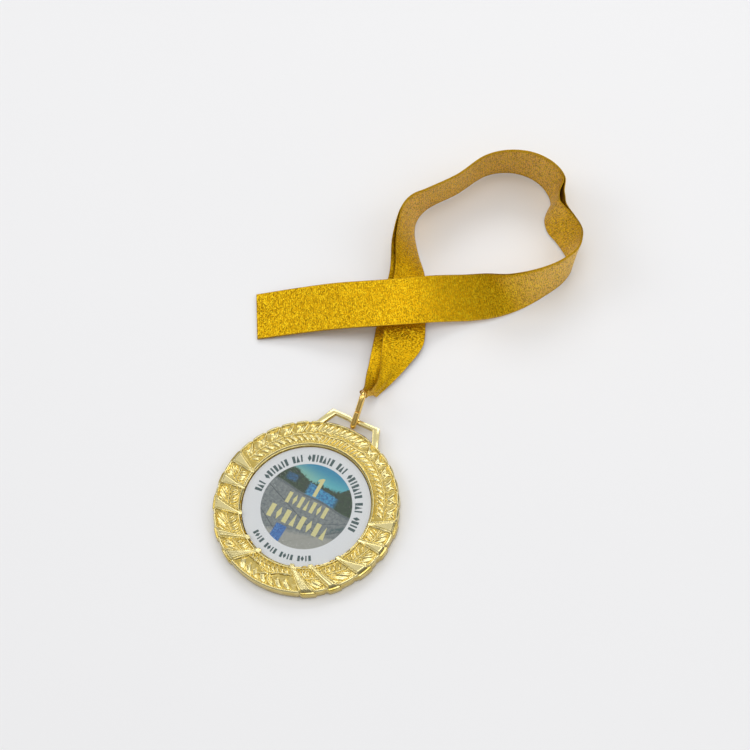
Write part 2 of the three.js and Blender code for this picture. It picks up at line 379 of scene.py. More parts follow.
# Ribbon wraps cast over the wreath, right side: degrees from the hanger of the two edges
# at the outer rim and at the opening, how far they bow, and the number of fine lines.
WRAPS = (
    (74.6, 84.0, 80.6, 84.0, 0.3, 0),
    (92.2, 99.8, 97.6, 100.8, 0.4, 0),
    (108.0, 117.6, 120.6, 125.0, 0.5, 0),
    (130.0, 137.6, 145.0, 149.6, 1.2, 3),
    (145.6, 155.4, 161.2, 165.6, 1.0, 4),
)
SPRIG_STARTS = (17.0, 26.2, 35.6, 45.4, 55.4, 65.6)


def wrap_edges(wrap, share):
    """Angles of both edges of a wrap at a share of the way out."""
    outer_low, outer_high, inner_low, inner_high, bow, _ = wrap
    curve = bow * 4.0 * share * (1.0 - share)
    low = inner_low + (outer_low - inner_low) * share - curve
    high = inner_high + (outer_high - inner_high) * share - curve
    return low, high


# Leaves of a laurel sprig: degrees on from its start and radius at the foot and at the
# tip, then half width, height, bend and vein.
LAUREL_LEAVES = (
    (4.8, 30.0, 0.2, 33.9, 0.62, 0.84, 0.30, 0.0),
    (8.6, 30.2, 5.6, 33.4, 0.46, 0.50, 0.20, 0.4),
    (1.8, 30.2, 3.0, 31.6, 0.34, 0.40, 0.0, 0.0),
    (5.2, 29.3, 0.2, 26.5, 0.78, 0.64, 0.25, 0.25),
    (9.6, 29.2, 5.0, 26.4, 0.66, 0.58, 0.25, 0.25),
)
# Its ribs, the same way, up to the height. The last two are the midrib.
LAUREL_RIBS = (
    (7.6, 31.4, 6.9, 33.2, 0.16, 0.34),
    (3.2, 29.0, -1.4, 27.0, 0.18, 0.42),
    (7.6, 28.9, 3.4, 26.8, 0.18, 0.42),
    (0.4, 29.75, 5.0, 29.45, 0.28, 0.66),
    (5.0, 29.45, 9.6, 29.75, 0.28, 0.66),
)


def leafy_panels(relief, sign):
    """The laurel between the plain panel by the hanger and the first wrap, one side.
    Every leaf grows from the midrib and points towards the hanger. The right side closes
    each leaf with a second one, the left side leaves it broad and smooth."""
    broad, crossed = (0.9, 0.56) if sign > 0 else (1.25, 0.30)
    leaves = ((6.2, 30.3, 1.4, 33.2, broad, 0.46, 0.3, 0.3),
              (4.6, 30.2, 8.6, 33.8, 0.60, crossed, -0.35, 0.0), *LAUREL_LEAVES)
    for start in SPRIG_STARTS:
        for foot, low, tip, high, half, height, bend, vein in leaves:
            relief.leaf((sign * (start + foot), low), (sign * (start + tip), high),
                        half, height, bend * sign, vein)
        for foot, low, tip, high, half, height in LAUREL_RIBS:
            relief.rib((sign * (start + foot), low), (sign * (start + tip), high),
                       half, height)


# Leaves of a sprig between two wraps: share of the way across and radius at the foot and
# at the tip, half width and height.
SPRIG_LEAVES = (
    (0.62, 30.0, 0.16, 33.4, 0.62, 0.78),
    (0.96, 29.9, 0.60, 33.6, 0.56, 0.70),
    (0.40, 30.2, 0.06, 32.2, 0.50, 0.44),
    (0.84, 30.6, 0.36, 33.7, 0.80, 0.40),
    (0.98, 31.6, 0.86, 33.7, 0.40, 0.46),
    (0.55, 29.2, 0.20, 26.2, 0.62, 0.74),
    (0.92, 29.0, 0.60, 26.0, 0.56, 0.66),
    (0.32, 29.4, 0.06, 27.2, 0.46, 0.46),
    (0.74, 28.9, 0.40, 26.1, 0.70, 0.42),
    (0.97, 27.8, 0.84, 26.0, 0.34, 0.46),
)


def gap_sprigs(relief, sign, opening, radius):
    """The small sprigs between the wraps, one side, fitted to the gap they grow in."""
    for first, second in zip(WRAPS[:-1], WRAPS[1:]):
        def place(share, reach):
            out = (reach - opening) / (radius - opening)
            low = wrap_edges(first, out)[1]
            high = wrap_edges(second, out)[0]
            return sign * (low + (high - low) * share), reach

        for share, foot, tip_share, tip, half, height in SPRIG_LEAVES:
            relief.leaf(place(share, foot), place(tip_share, tip), half, height,
                        0.18 * sign if tip > foot else -0.18 * sign)
        relief.rib(place(0.05, 30.0), place(0.5, 29.6), 0.26, 0.66)
        relief.rib(place(0.5, 29.6), place(0.95, 29.3), 0.26, 0.66)


# Rows of strokes in the feather panels: the first angle, the end and the pitch of a row,
# degrees on and radius at the foot and at the tip of a stroke, then half width and height,
# with a leaf's bend, vein and bluntness or a rib's bend where it has them.
FEATHER_LEAVES = (
    ((-19.5, 13.5, 4.3), 0.0, 30.2, 4.8, 33.9, (1.05, 0.50, 0.3, 0.0, 0.35)),
    ((-19.5, 16.0, 3.3), 0.0, 26.2, 3.0, 29.1, (0.66, 0.42, 0.1, 0.0, 0.35)),
    ((162.0, 197.0, 5.6), 4.6, 30.0, -0.4, 33.8, (0.92, 0.50, 0.3, 0.4, 0.25)),
    ((162.0, 197.0, 5.6), 5.4, 30.8, 1.2, 33.8, (0.42, 0.88, 0.3)),
    ((164.0, 196.0, 3.9), 2.8, 26.2, 0.0, 28.6, (0.52, 0.60, 0.15)),
)
FEATHER_RIBS = (
    ((-19.5, 13.5, 4.3), 1.4, 30.5, 5.9, 33.8, (0.24, 0.76, 0.25)),
    ((-19.5, 13.5, 4.3), 2.6, 30.4, 6.4, 33.0, (0.12, 0.44, 0.2)),
    ((-19.5, 16.0, 3.3), 1.1, 26.3, 3.6, 28.8, (0.18, 0.58)),
    ((164.0, 196.0, 3.9), 3.6, 26.8, 1.4, 28.4, (0.14, 0.40)),
)


def plain_panels(relief):
    """The feather panels by the hanger and opposite it, which slant one way."""
    for stroke, rows in ((relief.leaf, FEATHER_LEAVES), (relief.rib, FEATHER_RIBS)):
        for span, foot, low, tip, high, form in rows:
            for start in np.arange(*span):
                stroke((start + foot, low), (start + tip, high), *form)
    relief.rib((-16.5, 29.5), (0.0, 29.55), 0.26, 0.66, 0.3)
    relief.rib((0.0, 29.55), (17.5, 29.4), 0.26, 0.66, 0.3)
    relief.leaf((9.0, 30.2), (15.5, 30.8), 0.42, 0.72)
    relief.leaf((-15.0, 30.5), (-9.5, 30.1), 0.40, 0.66)
    for sign in (-1, 1):
        for foot, low, tip, high, half, height, bend in (
                (-8.0, 33.4, 3.0, 29.9, 0.26, 0.95, 0.5),
                (3.0, 29.9, 18.0, 28.4, 0.26, 0.95, 0.6),
                (-1.0, 29.3, 15.0, 28.5, 0.2, 0.6, 0.0)):
            relief.rib((180.0 + sign * foot, low), (180.0 + sign * tip, high), half, height,
                       bend * sign)


def wrap_heights(relief, opening, radius):
    """The ribbon wraps: a smooth facet between two cords, rolled over at the outer end."""
    share = (relief.radius - opening) / (radius - opening)
    held = np.clip(share, 0.0, 1.0)
    signed = signed_angle(relief.angle)
    for sign in (-1, 1):
        away = np.where(signed * sign > 0.0, signed * sign, signed * sign + 360.0)
        for wrap in WRAPS:
            low, high = wrap_edges(wrap, held)
            to_low = np.radians(away - low) * relief.radius
            to_high = np.radians(high - away) * relief.radius
            inside = np.minimum(to_low, to_high)
            width = np.maximum(to_low + to_high, 0.1)
            place = np.clip(to_low / width, 0.0, 1.0)
            lines = wrap[5]
            if lines:
                grooves = np.abs(np.cos(math.pi * place * lines)) ** 0.6
                facet = 0.62 + 0.32 * grooves + 0.14 * np.sin(math.pi * place)
            else:
                facet = 0.50 + 0.42 * held ** 2 + 0.24 * place
            cords = 1.06 * np.sqrt(np.clip(1.0 - ((inside - 0.18) / 0.26) ** 2, 0.0, 1.0))
            groove = 0.5 * np.exp(-((inside - 0.52) / 0.16) ** 2) * (width > 2.2)
            body = smooth_step((inside + 0.02) / 0.2)
            roll = 1.0 - 1.1 * smooth_step((relief.radius - radius + 1.5) / 1.5)
            plate = np.maximum((facet - groove) * body, cords) * roll
            relief.height = relief.height * (1.0 - body) + np.maximum(
                plate, relief.height * (1.0 - body)) * body


def edge_reach(angles, radius):
    """Radius of the outer edge: bulges at the wraps, notches between the leaves."""
    away = np.abs(signed_angle(angles))
    reach = np.full(angles.shape, radius)
    for wrap in WRAPS:
        middle = 0.5 * (wrap[0] + wrap[1])
        half = 0.5 * (wrap[1] - wrap[0]) + 0.8
        reach += 0.5 * smooth_step((half - np.abs(away - middle)) / 1.2)
    for start in (*SPRIG_STARTS, 75.0, 92.0, 103.0, 120.6, 139.6, 155.4):
        reach -= 0.35 * np.exp(-((away - start) / 0.9) ** 2)
    reach += 0.12 * np.cos(np.radians(away * 36.0)) * (away < 75.0)
    return reach


def opening_reach(angles, opening):
    """Radius of the edge of the opening: wraps and leaf tips lap over it."""
    away = np.abs(signed_angle(angles))
    reach = np.full(angles.shape, opening + 0.12)
    for wrap, lap in zip(WRAPS, (0.15, 0.2, 0.6, 0.75, 0.95)):
        middle = 0.5 * (wrap[2] + wrap[3])
        half = 0.5 * (wrap[3] - wrap[2]) + 0.6
        reach -= lap * smooth_step((half - np.abs(away - middle)) / 1.3)
    for middle, lap in ((152.6, 0.5), (141.6, 0.25), (128.4, 0.3), (112.0, 0.12)):
        reach -= lap * smooth_step((2.4 - np.abs(away - middle)) / 1.6)
    return reach


# The relief band, millimetres: its middle radius, half its width, how far its middle
# swells above its edges, and what the heights of the strokes are multiplied by.
BAND_MIDDLE = 29.8
BAND_HALF = 5.2
SWELL = 0.2
GAIN = 1.15


def wreath_mesh(sizes):
    """Points and faces of the casting without its hanger, as one closed body."""
    angles = np.linspace(-180.0, 180.0, sizes.steps, endpoint=False)
    outer = edge_reach(angles, sizes.radius)
    inner = opening_reach(angles, sizes.opening)
    round_off = 0.45
    shares = np.linspace(0.0, 1.0, sizes.rows)
    radii = inner[:, None] + 0.25 + (outer - inner - 0.25 - round_off)[:, None] * shares
    relief = Relief(np.repeat(angles[:, None], sizes.rows, 1), radii)
    relief.hoop(sizes.radius - 0.62, 0.42, 0.84)
    relief.hoop(sizes.opening + 0.72, 0.42, 0.92)
    plain_panels(relief)
    for sign in (-1, 1):
        leafy_panels(relief, sign)
        gap_sprigs(relief, sign, sizes.opening, sizes.radius)
    notches = np.zeros(radii.shape)
    away = np.abs(relief.angle)
    for start in SPRIG_STARTS:
        near = np.exp(-((away - start + 0.6) / 0.55) ** 2)
        notches += near * smooth_step((radii - sizes.radius + 1.5) / 0.6)
    relief.height *= 1.0 - 0.6 * np.clip(notches, 0.0, 1.0)
    wrap_heights(relief, sizes.opening, sizes.radius)
    field = sizes.thickness - sizes.sink
    crown = SWELL * (1.0 - ((radii - BAND_MIDDLE) / BAND_HALF) ** 2)
    heights = field - 0.25 + crown + relief.height * GAIN

    def column(reach, height):
        level = np.full(angles.shape, height) if np.isscalar(height) else height
        return reach, level

    wall_foot = np.full(angles.shape, sizes.opening)
    columns = [
        column(wall_foot * 0.5, WEB_TOP),
        column(wall_foot, WEB_TOP),
        column(wall_foot, COVER_HIGH[2] + 0.35),
        column(inner, COVER_HIGH[2] + 0.75),
        column(inner, heights[:, 0] - 0.22),
        column(inner + 0.08, heights[:, 0] - 0.07),
    ]
    columns += [(radii[:, k], heights[:, k]) for k in range(sizes.rows)]
    columns += [
        column(outer - 0.14, heights[:, -1] - 0.16),
        column(outer, heights[:, -1] - 0.5),
        column(outer + 0.03, sizes.thickness * 0.5),
        column(outer, 0.5),
        column(outer - 0.15, 0.15),
        column(outer - 0.5, 0.0),
        column(outer * 0.5, 0.0),
    ]
    bearing = np.radians(angles)
    layers = [np.stack([reach * np.sin(bearing), reach * np.cos(bearing), level], 1)
              for reach, level in columns]
    points = np.concatenate(layers)
    count = sizes.steps
    faces = grid_faces(len(layers), count, close_columns=True)
    first, last = len(points), len(points) + 1
    points = np.concatenate([points, [[0.0, 0.0, WEB_TOP], [0.0, 0.0, 0.0]]])
    bottom = (len(layers) - 1) * count
    for step in range(count):
        beside = (step + 1) % count
        faces.append((step, beside, first))
        faces.append((bottom + beside, bottom + step, last))
    return points, faces


# Outer and inner outline of the hanger, from the left foot over its V seat to the right.
HANGER_OUTER = ((-13.5, 31.5), (-10.0, 39.7), (-2.6, 39.65), (-0.55, 39.0), (0.75, 40.2),
                (2.3, 39.6), (10.4, 39.7), (13.6, 31.5))
HANGER_INNER = ((-10.7, 32.4), (-7.9, 38.0), (-2.4, 37.95), (-0.25, 37.3), (0.9, 38.1),
                (2.2, 38.0), (8.1, 38.0), (10.7, 32.4))


def hanger_mesh(sizes):
    """The hanger's flat outline given the depth of its bar."""
    high = sizes.thickness - 0.1
    levels = (high - sizes.bar, high)
    points = []
    for level in levels:
        for outer, inner in zip(HANGER_OUTER, HANGER_INNER):
            points += [(*outer, level), (*inner, level)]
    faces = []
    count = len(HANGER_OUTER)
    top = 2 * count
    for index in range(count - 1):
        a, b = 2 * index, 2 * index + 1
        c, d = a + 2, b + 2
        faces += [(b, d, c, a), (top + a, top + c, top + d, top + b),
                  (top + c, top + a, a, c), (top + b, top + d, d, b)]
    faces += [(top, top + 1, 1, 0), (2 * top - 1, 2 * top - 2, top - 2, top - 1)]
    return points, faces


def gold_material(sizes, finishes):
    """Polished plating with painted shade, darker and warmer deep in the relief, with fine
    casting texture.
    """
    board = Board("cast_gold_plating")
    place = board.coordinates()
    height = board.parts(place)[2]
    field = sizes.thickness - sizes.sink
    # Painted shade: below the relief field the colour runs to the recess shade.
    depth = height.ramp(field - 0.15, field + 0.45)
    blotch = board.noise(place, 0.55, 3.0)
    shade = board.mix(depth, tuple(finishes.painted_recess_shade), tuple(finishes.gold))
    pale = tuple(min(1.0, part * 1.04 + 0.04) for part in finishes.gold)
    colour = board.mix(blotch.ramp(0.4, 0.75) * 0.5, shade, pale)
    grain = board.noise(place, 9.0, 3.0)
    ripple = board.noise(place, 1.2, 2.0)
    return board.set(
        Base_Color=colour, Metallic=1.0, Roughness=0.16 + grain * 0.08,
        Normal=board.bump(ripple * 0.6 + grain * 0.10, 0.0001, 0.25))


class MEDAL_OT_casting(bpy.types.Operator):
    """The gold-plated wreath ring and its hanger"""
    bl_idname = "medal.casting"
    bl_label = "Casting"

    def execute(self, context):
        sizes = context.scene.medal_sizes
        material = gold_material(sizes, context.scene.medal_finishes)
        points, faces = wreath_mesh(sizes)
        wreath = make_object("wreath_ring", points, faces, material)
        points, faces = hanger_mesh(sizes)
        hanger = make_object("hanger_bail", points, faces, material)
        soften(hanger, 0.34, 2)
        for piece in (wreath, hanger):
            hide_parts("medal_casting")
            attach(piece, "medal")
        return {"FINISHED"}


def soften(piece, width, segments):
    """Bevel the edges of a hard piece and shade it smooth."""
    bevel = piece.modifiers.new("soft_edges", "BEVEL")
    bevel.width = width * MM
    bevel.segments = segments
    bevel.limit_method = "ANGLE"
    bevel.angle_limit = math.radians(20.0)
    bake_modifiers(piece)
    shade_by_angle(piece, 40.0)


def bake_modifiers(piece):
    """Put the result of a piece's modifiers into its mesh."""
    graph = bpy.context.evaluated_depsgraph_get()
    mesh = bpy.data.meshes.new_from_object(piece.evaluated_get(graph))
    piece.modifiers.clear()
    piece.data = mesh


# ---- the inset disc -------------------------------------------------------------------

def print_material(sizes, finishes):
    """The printed film: white with a round park view, all worked out from place."""
    board = Board("printed_film_ink")
    place = board.coordinates()
    across, up, _ = board.parts(place)
    reach = (across * across + up * up) ** 0.5
    rough = board.noise(place, 0.9, 6.0, 0.65)
    fine = board.noise(place, 2.6, 5.0, 0.6)
    wander = (rough - 0.5) * 5.0
    sky = board.mix(up.ramp(8.0, 17.0), (0.10, 0.42, 0.44), (0.015, 0.20, 0.34))
    haze = (across * -1.0 + wander * 0.8).ramp(-6.0, 9.0) * (14.5 - up).ramp(-2.0, 5.0)
    sky = board.mix(haze * 0.55, sky, (0.30, 0.45, 0.22))
    leaves = board.mix(fine.ramp(0.35, 0.7), (0.003, 0.010, 0.008), (0.035, 0.085, 0.03))
    crowns = (-3.5 - across).ramp(0.0, 8.0) * 2.6 + (across - 7.5).ramp(0.0, 5.5) * 3.6
    wood = (10.0 + crowns + wander * 0.9 - up).ramp(-0.4, 0.5)
    view = board.mix(wood, sky, leaves)
    ripple = board.noise(place, 1.4, 3.0)
    lake = board.mix(ripple.ramp(0.35, 0.65), (0.012, 0.11, 0.26), (0.04, 0.27, 0.46))
    in_lake = (across + 3.6 + wander * 0.5).ramp(0.0, 1.2) * (10.4 - across).ramp(0.0, 2.4)
    in_lake = in_lake * (9.1 - across * 0.14 - up + wander * 0.2).ramp(0.0, 0.5)
    view = board.mix(in_lake, view, lake)
    gap = (across + 10.5).absolute().ramp(1.2, 3.0)
    glimpse = (1.0 - gap) * (1.0 - (up - 8.4).absolute().ramp(0.8, 2.0)) * fine.ramp(0.4, 0.55)
    view = board.mix(glimpse * 0.8, view, (0.02, 0.14, 0.34))
    paving = board.mix((rough * 0.6 + fine * 0.4).ramp(0.35, 0.62),
                       (0.085, 0.11, 0.115), (0.20, 0.225, 0.22))
    shore = 4.3 - across * 0.09 + (across * 0.35).sine() * 0.3
    view = board.mix((shore - up).ramp(-0.35, 0.5), view, paving)
    kerb = 1.0 - (up - shore + 0.5).absolute().ramp(0.15, 0.5)
    view = board.mix(kerb * 0.7, view, (0.06, 0.085, 0.09))
    for slope, level, half in ((-0.42, -5.0, 0.28), (-0.62, -17.4, 0.3), (0.72, -15.6, 0.28),
                               (0.50, -8.4, 0.16)):
        line = 1.0 - (up - across * slope - level).absolute().ramp(half * 0.4, half)
        view = board.mix(line * (shore - 0.8 - up).ramp(0.0, 1.0) * 0.75, view,
                         (0.04, 0.055, 0.06))
    bush = (1.0 - (up - across * 0.72 + 14.4).absolute().ramp(0.4, 1.4))
    bush = bush * (across - 12.0).ramp(0.0, 1.5) * fine.ramp(0.4, 0.6)
    view = board.mix(bush, view, (0.02, 0.07, 0.07))
    path = (up * -1.0 - 10.5 + across * 0.25 + wander * 0.3).ramp(0.0, 2.0)
    view = board.mix(path * 0.65, view, (0.34, 0.34, 0.29))
    tent = (across + 4.3 - up * 0.04).absolute().ramp(1.9, 2.4)
    tent = (1.0 - tent) * (up * -1.0 - 10.2 + wander * 0.15).ramp(0.0, 0.5)
    fold = board.mix(fine.ramp(0.4, 0.6), (0.01, 0.05, 0.22), (0.05, 0.20, 0.48))
    view = board.mix(tent, view, fold)
    inside = 1.0 - reach.ramp(sizes.picture - 0.1, sizes.picture + 0.1)
    colour = board.mix(inside, tuple(finishes.paper), view)
    return board.set(Base_Color=colour, Roughness=0.42 + fine * 0.06,
                     Coat_Weight=0.5, Coat_Roughness=0.03, Specular_IOR_Level=0.2,
                     Normal=board.bump(fine, 0.00001, 0.2))


def ink_material(name, colour):
    board = Board(name)
    place = board.coordinates()
    fleck = board.noise(place, 7.0, 3.0)
    pale = tuple(min(1.0, part * 1.6 + 0.03) for part in colour)
    shade = board.mix(fleck.ramp(0.35, 0.8) * 0.6, tuple(colour), pale)
    return board.set(Base_Color=shade, Roughness=0.38 + fleck * 0.1, Coat_Weight=0.5,
                     Coat_Roughness=0.03, Specular_IOR_Level=0.2)


def cover_material():
    """Clear cover: nearly see-through, with a few wipe marks in its gloss."""
    board = Board("clear_cover_gloss")
    place = board.coordinates()
    wipe = board.noise(place, 0.4, 4.0)
    return board.set(Base_Color=(1.0, 1.0, 1.0), Roughness=0.03 + wipe * 0.05, Alpha=0.02,
                     Coat_Weight=1.0, Coat_Roughness=0.02)


def plastic_material():
    board = Board("white_plate_plastic")
    place = board.coordinates()
    fleck = board.noise(place, 5.0, 3.0)
    colour = board.mix(fleck, (0.78, 0.79, 0.80), (0.86, 0.86, 0.87))
    return board.set(Base_Color=colour, Roughness=0.3 + fleck * 0.1,
                     Normal=board.bump(fleck, 0.00002, 0.3))


def foam_material():
    board = Board("tape_foam")
    place = board.coordinates()
    cells = board.node("ShaderNodeTexVoronoi", None, Vector=place, Scale=4.0)
    colour = board.mix(cells, (0.62, 0.60, 0.53), (0.80, 0.79, 0.73))
    return board.set(Base_Color=colour, Roughness=0.85 + cells * 0.1,
                     Normal=board.bump(cells, 0.00006, 0.6))


MARK_SHAPES = {
    "bar": [(-0.5, -0.5), (0.5, -0.5), (0.5, 0.5), (-0.5, 0.5)],
    "wedge": [(-0.5, -0.5), (0.5, -0.5), (0.0, 0.5)],
    "lozenge": [(0.0, -0.5), (0.5, 0.0), (0.0, 0.5), (-0.5, 0.0)],
}


# Marks round the picture, each with its share of the pitch; None leaves a space.
UPPER_PATTERN = (("bar", 0.72), ("wedge", 1.05), ("bar", 0.42), None, ("lozenge", 1.0),
                 ("bar", 0.72), ("bar", 0.42), ("bar", 0.72), ("wedge", 1.05), ("bar", 0.42),
                 ("bar", 0.72), None)
LOWER_PATTERN = (("bar", 0.72), ("bar", 0.4), ("lozenge", 1.0), ("bar", 0.72), None)
# Millimetres: how far the marks lie over the film, and how thick their ink is.
INK_LIFT = 0.004
INK = 0.012


def arc_marks(radius, height, low, high, pattern, pitch, outward):
    """Flat marks along an arc. Angles are degrees from the hanger, clockwise."""
    points, faces = [], []
    count = int((high - low) / pitch)
    for index in range(count):
        entry = pattern[index % len(pattern)]
        if entry is None:
            continue
        shape, wide = entry
        angle = math.radians(low + (index + 0.5) * (high - low) / count)
        along = wide * math.radians(pitch) * radius
        start = len(points)
        for x, y in MARK_SHAPES[shape]:
            reach = radius + (y if outward else -y) * height
            turn = angle + (x if outward else -x) * along / radius
            points.append((reach * math.sin(turn), reach * math.cos(turn)))
        faces.append(tuple(range(start, len(points))))
    return points, faces


def printed_marks(name, points, faces, level, material):
    """A sheet of flat marks, given the thickness of ink."""
    solid, skins = [], []
    count = len(points)
    for height in (level, level + INK):
        solid += [(x, y, height) for x, y in points]
    for face in faces:
        area = sum(points[face[k - 1]][0] * points[face[k]][1]
                   - points[face[k]][0] * points[face[k - 1]][1] for k in range(len(face)))
        loop = face if area > 0 else tuple(reversed(face))
        skins.append(tuple(corner + count for corner in loop))
        skins.append(tuple(reversed(loop)))
        for index, corner in enumerate(loop):
            beside = loop[(index + 1) % len(loop)]
            skins.append((corner, beside, beside + count, corner + count))
    return make_object(name, solid, skins, material, smooth=False)


class MEDAL_OT_disc(bpy.types.Operator):
    """The printed inset disc, with its cover, plate and tape"""
    bl_idname = "medal.disc"
    bl_label = "Inset disc"

    def execute(self, context):
        sizes = context.scene.medal_disc
        finishes = context.scene.medal_finishes
        for node, material in (
                ("printed_film", print_material(sizes, finishes)),
                ("insert_plate", plastic_material()),
                ("adhesive_disc", foam_material())):
            holder = frame["nodes"][node]
            holder.data.materials.clear()
            holder.data.materials.append(material)
        level = FILM_TOP + INK_LIFT
        dark = ink_material("dark_print_ink", finishes.ink)
        pale = ink_material("khaki_print_ink", finishes.khaki)
        upper = arc_marks(sizes.upper_arc, sizes.mark, -97.0, 95.0, UPPER_PATTERN, 4.3, True)
        lower = arc_marks(sizes.lower_arc, sizes.mark * 0.75, 146.0, 217.0, LOWER_PATTERN, 3.6,
                          False)
        upper_marks = printed_marks("upper_arc_marks", *upper, level, dark)
        lower_marks = printed_marks("lower_arc_marks", *lower, level, dark)
        centre = centre_marks(level, pale)
        for piece in (upper_marks, lower_marks, centre):
            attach(piece, "medal")
        cover = cover_object()
        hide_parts("clear_cover")
        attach(cover, "medal")
        return {"FINISHED"}


def centre_marks(level, material):
    """The numeral in the middle of the picture, with two rows of plain blocks below."""
    points, faces = [], []

    def block(outline, middle):
        start = len(points)
        points.extend((middle[0] + x, middle[1] + y) for x, y in outline)
        faces.append(tuple(range(start, start + len(outline))))

    numeral = [(-0.7, -4.0), (0.7, -4.0), (0.7, 4.0), (-0.2, 4.0), (-1.5, 2.9), (-1.5, 2.0),
               (-0.7, 2.5)]
    block(numeral, (0.7, 8.6))
    rows = ((0.5, 4.6, 7, 2.55, 1.45), (-6.8, 5.4, 8, 3.2, 1.9))
    kinds = ("bar", "lozenge", "bar", "wedge")
    for middle, tall, count, pitch, wide in rows:
        for index in range(count):
            shape = MARK_SHAPES[kinds[index % len(kinds)]]
            outline = [(x * wide, y * tall) for x, y in shape]
            block(outline, ((index - (count - 1) / 2) * pitch, middle))
    return printed_marks("centre_marks", points, faces, level, material)


def cover_object():
    """A low dome with a rounded edge over the print."""
    radius = float(COVER_HIGH[0])
    low = float(COVER_LOW[2]) + 0.03
    high = float(COVER_HIGH[2])
    profile = [(0.0, low), (radius * 0.5, low), (radius, low), (radius, high - 0.16),
               (radius - 0.06, high - 0.06), (radius - 0.2, high - 0.01)]
    profile += [(radius * share, high - 0.01 + 0.05 * (1 - share ** 2))
                for share in (0.97, 0.8, 0.6, 0.4, 0.2)]
    profile.append((0.0, high + 0.04))
    steps = 128
    points = []
    for reach, level in profile[1:-1]:
        for step in range(steps):
            turn = 2.0 * math.pi * step / steps
            points.append((reach * math.cos(turn), reach * math.sin(turn), level))
    faces = grid_faces(len(profile) - 2, steps, close_columns=True)
    bottom, top = len(points), len(points) + 1
    points += [(0.0, 0.0, profile[0][1]), (0.0, 0.0, profile[-1][1])]
    last = (len(profile) - 3) * steps
    for step in range(steps):
        beside = (step + 1) % steps
        faces.append((bottom, beside, step))
        faces.append((top, last + step, last + beside))
    return make_object("clear_cover_dome", points, faces, cover_material())


# ---- the jump ring --------------------------------------------------------------------

class MEDAL_OT_ring(bpy.types.Operator):
    """The oval wire jump ring"""
    bl_idname = "medal.ring"
    bl_label = "Jump ring"

    def execute(self, context):
        sizes = context.scene.medal_ring
        board = Board("ring_wire_gold")
        place = board.coordinates()
        drawn = board.noise(place, 3.0, 3.0)
        colour = board.mix(drawn.ramp(0.3, 0.8), tuple(context.scene.medal_finishes.wire),
                           (0.93, 0.68, 0.24))
        material = board.set(Base_Color=colour, Metallic=1.0, Roughness=0.16 + drawn * 0.12,
                             Normal=board.bump(drawn, 0.00003, 0.4))
        ring = make_object("oval_jump_ring", *ring_mesh(sizes), material)
        shade_by_angle(ring, 50.0)
        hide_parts("jump_ring")
        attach(ring, "ring")
        return {"FINISHED"}


def ring_axes(sizes):
    """Middle of the ring's far end, and the directions along and across the oval."""
    along = np.array([0.0, math.cos(sizes.lift), math.sin(sizes.lift)])
    upright = np.array([0.0, -math.sin(sizes.lift), math.cos(sizes.lift)])
    sideways = np.cross(along, upright)
    across = math.cos(sizes.twist) * upright + math.sin(sizes.twist) * sideways
    end = np.array(JOINTS["ribbon_swing"]["pos_m"]) / MM
    return end, along, across


def ring_mesh(sizes):
    end, along, across = ring_axes(sizes)
    flat = np.cross(across, along)
    radius = (sizes.width - sizes.wire) / 2.0
    reach = (sizes.length - sizes.width) / 2.0
    middle = end - along * reach
    straight, bend = 2.0 * reach, math.pi * radius
    total = 2.0 * (straight + bend) - sizes.cut
    steps, sides = 150, 20
    points = []
    for step in range(steps + 1):
        run = sizes.cut / 2.0 + total * step / steps
        turn = 1.0 if run < straight + bend else -1.0
        run = run if turn > 0.0 else run - straight - bend
        if run < reach:
            major, minor, heading = run, radius, 0.0
        elif run > reach + bend:
            major, minor, heading = straight + bend - run, -radius, math.pi
        else:
            heading = (run - reach) / radius
            major = reach + radius * math.sin(heading)
            minor = radius * math.cos(heading)
        centre = middle + turn * (major * along + minor * across)
        outward = turn * (math.sin(heading) * along + math.cos(heading) * across)
        pinch = 0.78 if step in (0, steps) else 1.0
        for side in range(sides):
            angle = 2.0 * math.pi * side / sides
            swing = math.cos(angle) * outward - math.sin(angle) * flat
            points.append(centre + swing * (sizes.wire / 2.0) * pinch)
    faces = grid_faces(steps + 1, sides, close_columns=True)
    faces.append(tuple(reversed(range(sides))))
    faces.append(tuple(range(steps * sides, (steps + 1) * sides)))
    return points, faces


# ---- the ribbon -----------------------------------------------------------------------

